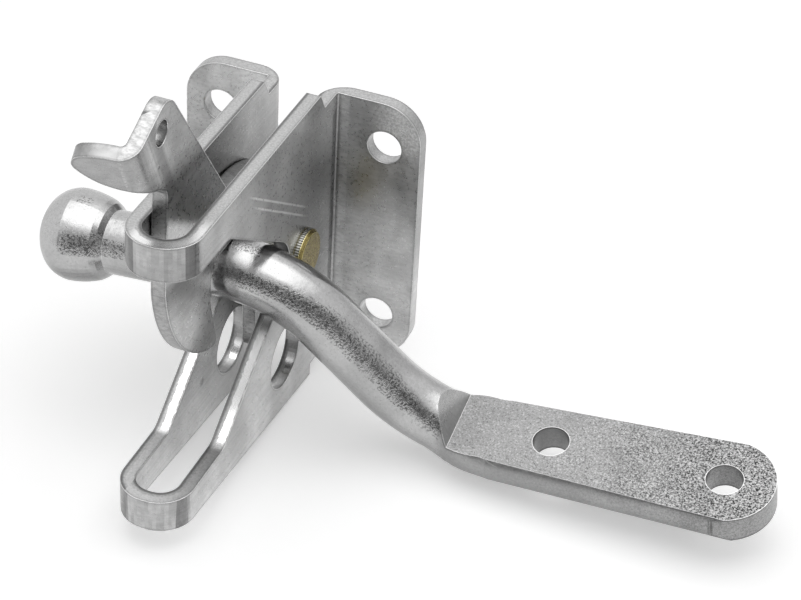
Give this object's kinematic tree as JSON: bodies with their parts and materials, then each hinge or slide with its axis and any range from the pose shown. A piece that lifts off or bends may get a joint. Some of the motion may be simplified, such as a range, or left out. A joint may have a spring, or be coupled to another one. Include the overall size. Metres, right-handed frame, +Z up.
{
  "type": "gate latch",
  "caption": "Gravity gate latch: a folded bracket for the post, a pivoting lever with a thumb tab and a forged striker bar with a knob, lying in the mouth.",
  "frame": {"origin": "on the post's face, in the middle of the four bolt holes of the bracket's flanges", "axes": "+X along the rivet and the rod, from the knob to the pad; +Y into the post; +Z up"},
  "size_m": [0.1492, 0.0741, 0.0897],
  "materials": {
    "zinc_sheet": "satin",
    "zinc_plate": "satin",
    "brass_rivet": "gloss",
    "zinc_forging": "satin"
  },
  "bodies": {
    "bracket": {"latch_bracket": "zinc_sheet", "pivot_rivet": "brass_rivet", "striker_bar": "zinc_forging"},
    "lever": {"latch_lever": "zinc_plate"}
  },
  "joints": [
    {"name": "lever_pivot", "type": "hinge", "parent": "bracket", "child": "lever", "pos_m": [-0.0025, -0.0185, 0.0015], "axis": [-1, 0, 0], "range_deg": [0, 50]}
  ]
}
